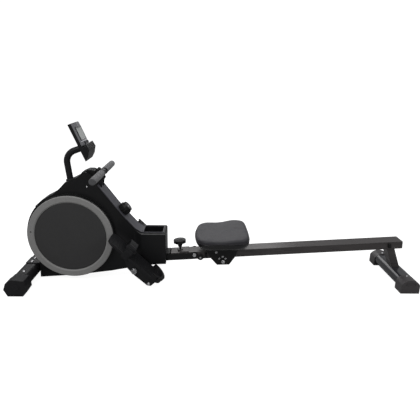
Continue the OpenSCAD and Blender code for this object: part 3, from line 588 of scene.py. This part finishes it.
def make_seat():
    edge = 11.0
    centre = (SEAT_FRONT + SEAT_LONG / 2, 0.0)
    skirt = ((8, -0.6), (3.5, 0), (2.4, 2), (1.8, 7), (-0.4, 12))
    rings = [[(x, y, PAD_LOW + w) for x, y in seat_loop(inset)] for inset, w in skirt]
    for k in range(6):
        a = math.radians(18 * k)
        inset, drop = edge * (1 - math.cos(a)), edge * (1 - math.sin(a))
        rings.append([(x, y, seat_height(x, y) - drop) for x, y in seat_loop(inset)])
    base = seat_loop(edge)
    for k in range(1, 13):
        f = 1 - k / 13
        ring = [(centre[0] + (x - centre[0]) * f, y * f) for x, y in base]
        rings.append([(x, y, seat_height(x, y)) for x, y in ring])
    n = len(base)
    verts = [v for ring in rings for v in ring] + [(*centre, seat_height(*centre))]
    last = len(rings) * n
    faces = stitch_rings(len(rings), n)
    faces += [(last - n + i, last - n + (i + 1) % n, last) for i in range(n)]
    faces.append(tuple(range(n - 1, -1, -1)))
    pad = piece("seat_cushion", verts, faces, "seat", "seat_vinyl", RAIL, smooth_levels=1)
    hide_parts("seat_pad")
    welt = [(x, y, PAD_LOW + 11.2) for x, y in seat_loop(-0.7)]
    v, f, _ = sweep(welt, ring_section(1.3, 8), Vector((0, 0, 1)), closed=True)
    piece("seat_seam", v, f, "seat", "seat_vinyl", RAIL)
    # moulded shell under the pad, hollow where it sits on the carriage
    levels = [(3.0, 91), (-0.8, 90), (-1.4, 87), (-0.8, PAD_LOW), (1.5, 74.5), (5, 68), (10, 62), (18, 57),
              (27, 54.5), (33, 55.5), (35, CARRIAGE_TOP)]
    verts = [(x, y, w) for inset, w in levels for x, y in seat_loop(inset)]
    faces = stitch_rings(len(levels), n)
    faces.append(tuple((len(levels) - 1) * n + i for i in range(n)))
    faces.append(tuple(range(n - 1, -1, -1)))
    shell = piece("seat_shell", verts, faces, "seat", "seat_shell", RAIL, smooth_levels=1)
    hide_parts("seat_pan")


def make_pull_strap():
    """The webbing from the reel over the guide roller to the clamp. Its last stretch follows the handle."""
    reel_r, guide_r, rise = 43.1, 14.6, 4.0
    guide_top, clamp_x, clamp_start = 534.735, -571.5, (-573.5, 537.3)
    reel, guide = [(x, z) for x, _, z in (joint_place("reel_spin"), joint_place("guide_spin"))]
    gap = Vector((guide[0] - reel[0], guide[1] - reel[1]))
    low = math.degrees(math.atan2(gap.y, gap.x) + math.acos((reel_r - guide_r) / gap.length))
    pts = [arc(reel, reel_r, low, low, 1)[0]] + arc(guide, guide_r, low, 90 + rise, 10)
    top_x = pts[-1][0]
    for i in range(1, 25):
        x = top_x + (clamp_x - top_x) * i / 24
        pts.append((x, HANDLE_Z + (x - HANDLE_X) * math.tan(math.radians(rise))))
    v, f, uv = sweep([(x, 0, z) for x, z in pts], strap_section(25, 1.5))
    strap = piece("strap_webbing", v, f, None, "webbing", uvs=uv)
    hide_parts("pull_strap")
    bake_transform(strap)


def make_foot_straps():
    # the arch's place along the footplate, the height it springs from, its half width and its rise
    s0, n0, wide, high = -80.0, 43.0, 58.2, 38.3
    cup_s, cup_r, cup_n = 81.0, 58.1, 44.5

    def arch(side, degrees, lift, s=s0):
        a = math.radians(degrees)
        return (s, side * (wide + lift) * math.cos(a), n0 + (high + lift) * math.sin(a))

    for side, name in SIDES:
        place, body = PEDALS[name], "pedal_" + name
        feet = [22, 29, 36]
        path = [(s0, wide, w) for w in feet] + [arch(1, 7.5 * i, 0) for i in range(25)]
        path += [(s0, -wide, w) for w in reversed(feet)]
        v, f, uv = sweep(path, strap_section(40, 1.9), Vector((1, 0, 0)))
        band = piece("foot_webbing_" + name, v, f, body, "webbing", place, uvs=uv)
        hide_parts("foot_strap_" + name)
        # the pulled-through end hangs down the outside from the buckle
        tail = [arch(side, 64 - 8 * i, 2.2) for i in range(9)]
        tail += [(s0, side * (wide + out), w) for out, w in ((2.6, 35), (3.6, 28), (5.4, 21), (7.6, 15))]
        v, f, uv = sweep(tail, strap_section(34, 1.7), Vector((1, 0, 0)))
        piece("foot_strap_end_" + name, v, f, body, "webbing", place, uvs=uv)
        loop = [arch(side, q, 3.4, s) for s, q in rounded_box(s0 - 24, s0 + 24, 30, 47, 4)]
        v, f, _ = sweep(loop, ring_section(2.0, 10), Vector((0, side * 0.8, 0.6)), closed=True)
        piece("foot_buckle_" + name, v, f, body, "cap_plastic", place)
        bar = [arch(side, 38.5, 3.9, s0 - 24), arch(side, 38.5, 3.9, s0 + 24)]
        v, f, _ = sweep(bar, ring_section(1.8, 10), Vector((0, 0, 1)))
        piece("foot_buckle_bar_" + name, v, f, body, "cap_plastic", place)
        # heel strap: a narrow band round the back of the cup, with its slider
        cup = [(s, y, cup_n) for s, y in arc((cup_s, 0), cup_r, -62, 62, 20)]
        v, f, uv = sweep(cup, strap_section(14, 1.6), Vector((0, 0, 1)))
        piece("heel_band_" + name, v, f, body, "webbing", place, uvs=uv)
        v, f = prism(rounded_box(-9, 9, -5, 5, 2.5, 3), 0, 3.2)
        aim = Matrix.Rotation(math.radians(side * 62), 4, "Z") @ Matrix.Rotation(math.radians(90), 4, "Y")
        spot = place @ at(108.8, side * 52.3, cup_n) @ aim
        piece("heel_slider_" + name, v, f, body, "cap_plastic", spot, round_edges=0.8)


def make_grips():
    inner, outer = 24.5, 216.0
    length = outer - inner
    for side, name in SIDES:
        prof = [(11.2, 0.4), (14.2, 0.3), (15.4, 1.4), (15.9, 3.4)]
        for i in range(1, 15):
            d = 4 + (length - 14) * i / 14
            prof.append((16.0 + 0.45 * math.sin(math.pi * i / 14), d))
        prof += [(16.0, length - 8), (15.7, length - 4), (14.6, length - 1.6), (12.5, length - 0.4),
                 (9, length), (3, length - 0.2)]
        v, f = lathe(prof, 56)
        place = sided(at(HANDLE_X, side * inner, HANDLE_Z), side)
        grip = piece("foam_" + name, v, f, "handle", "foam_grip", place)
        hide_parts("grip_" + name)
        v, f = lathe([(16.2, -1.5), (17.2, -0.8), (17.2, 4.2), (16.4, 5)], 48)
        piece("grip_collar_" + name, v, f, "handle", "cap_plastic", place, round_edges=0.5)


# ---- hard detail ----
def make_arm():
    tube_r, foot = 15, Vector((-702.4, 452.0))
    bend = [Vector(p) for p in arc((-658.0, 585.0), 58.0, 186, 110, 18)]
    ahead = Vector((math.cos(math.radians(20)), math.sin(math.radians(20))))
    path = [foot + (bend[0] - foot) * i / 5 for i in range(5)] + bend
    path += [bend[-1] + ahead * d for d in (9, 18, 27, 36, 46.5)]
    v, f, _ = sweep([(p.x, 0, p.y) for p in path], ring_section(tube_r, 32))
    tube = piece("arm_tube", v, f, "frame", "frame_paint")
    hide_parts("console_arm")
    collar = [(20, -2), (20.5, 0), (20.5, 4), (18.5, 7), (15.2, 8), (15.2, -2)]
    v, f = lathe(collar, 40)
    place = turn_frame((-707.5, 0, 498), -14)
    piece("arm_grommet", v, f, "frame", "cap_plastic", place)


def bolt(name, body, place, size):
    """A hexagon head with a bolt's end on a washer: `size` is the head's radius in mm. Local Z points out."""
    washer = 1.5
    end = [(0.5, 0.6), (0.5, 0.95), (0.42, 1.1)]
    shapes = [lathe([(size * 1.25, 0), (size * 1.25, 0.7 * washer), (size * 1.1, washer)], 36),
              prism(ring_section(size, 6), washer, washer + size * 0.62),
              lathe([(size * r, washer + size * z) for r, z in end], 24)]
    piece(name, *joined(shapes), body, "steel_bolt", place, round_edges=0.5)


def make_tread(word):
    """Anti-slip ribs across a footplate, none of them under its foot strap."""
    base, top = 32.9, 34.6
    heel_s, heel_r, strap_from, strap_to = 76, 46, -106, -54
    ribs = []
    for s in range(-165, 115, 15):
        if strap_from < s < strap_to:
            continue
        half = min(44 if s > -150 else 34, math.sqrt(max(0, heel_r ** 2 - max(0, s - heel_s) ** 2)))
        rear = [(s + 3.4 + abs(y) * 0.12, y) for y in (-half, 0, half)]
        front = [(s - 1.0 + abs(y) * 0.12, y) for y in (half, 0, -half)]
        ribs.append(prism(rear + front, base, top))
    piece("tread_" + word, *joined(ribs), "pedal_" + word, "pedal_plastic", PEDALS[word], round_edges=0.5)


def make_hardware():
    carriage_bolts = ((1, 146, 5.0), (34, 123, 4.5), (17, 112, 4.0), (48, 112, 4.0))
    for side, word in SIDES:
        for i, (x, z, size) in enumerate(carriage_bolts):
            bolt(f"carriage_bolt_{word}_{i}", "seat", sided(at(x, side * 47, z), side), size)
        v, f = lathe([(9.5, 0), (9.5, 1), (7.0, 2.2), (7.0, 6), (6.0, 7)], 36)
        axle_end = sided(RAIL @ at(142, side * 53.5, -40.3), side)
        piece(f"lower_axle_cap_{word}", v, f, "seat", "steel_bolt", axle_end, round_edges=0.5)
        bolt("lug_bolt_" + word, "rail", sided(at(-77.3, side * 50.3, 116.9), side), 4.2)
        heel = sided(PEDALS[word] @ at(93, side * 52.1, -4), side)
        bolt("pedal_bolt_" + word, "pedal_" + word, heel, 6.0)
        make_tread(word)


def make_sole(name, body, x0, x1, ends, thick):
    """A rubber sole under a foot cap."""
    y0, y1 = sorted(ends)
    v, f = prism(rounded_box(x0, x1, y0 + 2, y1 - 2, 4), 0.0, thick)
    piece(name, v, f, body, "stop_rubber", round_edges=0.6)


def make_feet_trim():
    for side, word in SIDES:
        rear_ends, front_ends = (side * 133.0, side * 194.0), (side * 178.0, side * 239.0)
        make_sole("rear_sole_" + word, "rail", REAR_FOOT_X - 37, REAR_FOOT_X + 37, rear_ends, 4.0)
        ring = [(REAR_FOOT_X - 39 + x, side * 191.2, 47 + z) for x, z in rounded_box(20, 58, -7, 7, 6.9, 8)]
        v, f, _ = sweep(ring, ring_section(0.9, 8), Vector((0, 1, 0)), closed=True)
        piece("rear_cap_rim_" + word, v, f, "rail", "rear_cap_plastic")
        make_sole("front_sole_" + word, "frame", FRONT_FOOT_X - 30, FRONT_FOOT_X + 33, front_ends, 3.5)
        # adjuster wheel set in the front cap's outer face
        v, f = lathe([(15, 0), (15, 1.6), (13.5, 2.4), (6, 2.4), (5, 1.6), (0.6, 1.6)], 40)
        boss = sided(at(FRONT_FOOT_X + 4, side * 238.6, 42), side)
        piece("front_cap_boss_" + word, v, f, "frame", "cap_plastic", boss, round_edges=0.5)


CROWN_TOP, CROWN_R = 30, 120
# how far a trim piece sinks into the dome
SUNK = -0.6


def crown(y, lift=0.0):
    """Height of the console face's dome at y, in the console's own frame."""
    return CROWN_TOP - CROWN_R + math.sqrt(CROWN_R ** 2 - y * y) + lift


def dome_frame(name, outer, inner, lift, slot, mat):
    """A thin frame on the dome, between two rounded boxes. Its inside reaches down to the window."""
    outer, inner = rounded_box(*outer, 10), rounded_box(*inner, 10)
    verts = [(x, y, crown(y, up)) for loop, up in ((outer, SUNK), (outer, lift), (inner, lift), (inner, -9.0))
             for x, y in loop]
    piece(name, verts, stitch_rings(4, len(outer)), "frame", slot, CONSOLE, mat=mat)


def dome_panel(name, x0, x1, y0, y1, lift, slot, mat):
    """A thin panel that follows the dome."""
    cols, rows = 16, 6
    verts = [(x0 + (x1 - x0) * i / rows, y, crown(y, up)) for up in (lift, SUNK) for i in range(rows + 1)
             for y in (y0 + (y1 - y0) * j / cols for j in range(cols + 1))]
    faces = []
    m = (rows + 1) * (cols + 1)
    for i in range(rows):
        for j in range(cols):
            a = i * (cols + 1) + j
            quad = (a, a + 1, a + cols + 2, a + cols + 1)
            faces += [quad, tuple(m + q for q in reversed(quad))]
    edge = list(range(cols)) + [cols + i * (cols + 1) for i in range(rows)]
    edge += [m - 1 - j for j in range(cols)] + [(rows - i) * (cols + 1) for i in range(rows)]
    for i, a in enumerate(edge):
        b = edge[(i + 1) % len(edge)]
        faces.append((a, b, b + m, a + m))
    piece(name, verts, faces, "frame", slot, CONSOLE, mat=mat)


def make_console_trim():
    dome_frame("lcd_frame", (19, 87, -48, 48, 5), (26, 82, -41, 41, 2), 0.7, "console_black", "dark_inlay")
    dome_panel("label_band", 88.5, 93, -50, 50, 0.35, "console_grey", "label_grey")
    for i, y0 in enumerate((-24, 0, 24)):
        loop = [(x, y, crown(y, 0.1)) for x, y in arc((101, y0), 7.0, 0, 351, 39)]
        v, f, _ = sweep(loop, ring_section(0.7, 8), Vector((0, 0, 1)), closed=True)
        piece(f"button_ring_{i}", v, f, "frame", "console_black", CONSOLE)
    # ribbed rubber strip along the ledge, and its raised lip
    ribs = []
    for e in range(113, 135, 4):
        n0 = 38.4 + (e - 111) * 0.08
        ribs.append(prism([(e, -52), (e + 1.8, -52), (e + 1.8, 52), (e, 52)], n0 - 0.3, n0 + 1.0))
    piece("ledge_ribs", *joined(ribs), "frame", "console_black", CONSOLE, mat="stop_rubber", round_edges=0.4)
    v, f, _ = sweep([(108.6, y, 37.4) for y in (-54, 54)], ring_section(1.2, 10), Vector((0, 0, 1)))
    piece("ledge_lip", v, f, "frame", "console_grey", CONSOLE)


def make_housing_trim():
    # thin bright bead down each side of the grey slope strip
    slope = [(339, 14), (307, 34), (260, 87), (215, 143), (170, 204), (135, 251)]
    pts = [(DRUM_X + x + 2.0, DRUM_Z + z + 1.7) for x, z in slope]
    for side, word in SIDES:
        v, f, _ = sweep([(x, side * 48.2, z) for x, z in pts], ring_section(1.4, 10))
        piece("slope_bead_" + word, v, f, "frame", "slope_plastic")
        # dark bottom of the ring's small hole
        v, f = lathe([(3.9, 0), (3.9, 0.9), (0.5, 0.6)], 24)
        hole = sided(at(-891.4, side * 75.2, 257.5), side)
        piece("ring_hole_" + word, v, f, "frame", "ring_plastic", hole, mat="cap_plastic")
    loop = rounded_box(-361.2, -261.8, -48.2, 48.2, 9, 6)
    v, f, _ = sweep([(x, y, 250) for x, y in loop], ring_section(2.6, 12), Vector((0, 0, 1)), closed=True)
    piece("tray_rim", v, f, "frame", "slope_plastic")
    v, f = prism(rounded_box(-357, -266, -44, 44, 5, 4), 177.2, 179.2)
    piece("tray_mat", v, f, "frame", "stop_rubber", round_edges=0.5)
    # lighter end plate on the tension knob
    v, f = lathe([(20, 35.6), (20, 36.6), (18, 37.4), (7, 37.4), (6, 36.9), (0.6, 36.9)], 48)
    piece("knob_plate", v, f, "tension_knob", "knob_plastic", KNOB, mat="dark_inlay", round_edges=0.4)
    bar = prism([(-2.2, -17), (2.2, -17), (2.2, -6), (-2.2, -6)], 37.2, 38.2)
    piece("knob_mark", *bar, "tension_knob", "knob_plastic", KNOB, mat="label_grey", round_edges=0.3)


make_camera()
make_studio()
materials = make_materials()
dress_nodes()
make_seat()
make_pull_strap()
make_foot_straps()
make_grips()
make_arm()
make_hardware()
make_feet_trim()
make_console_trim()
make_housing_trim()
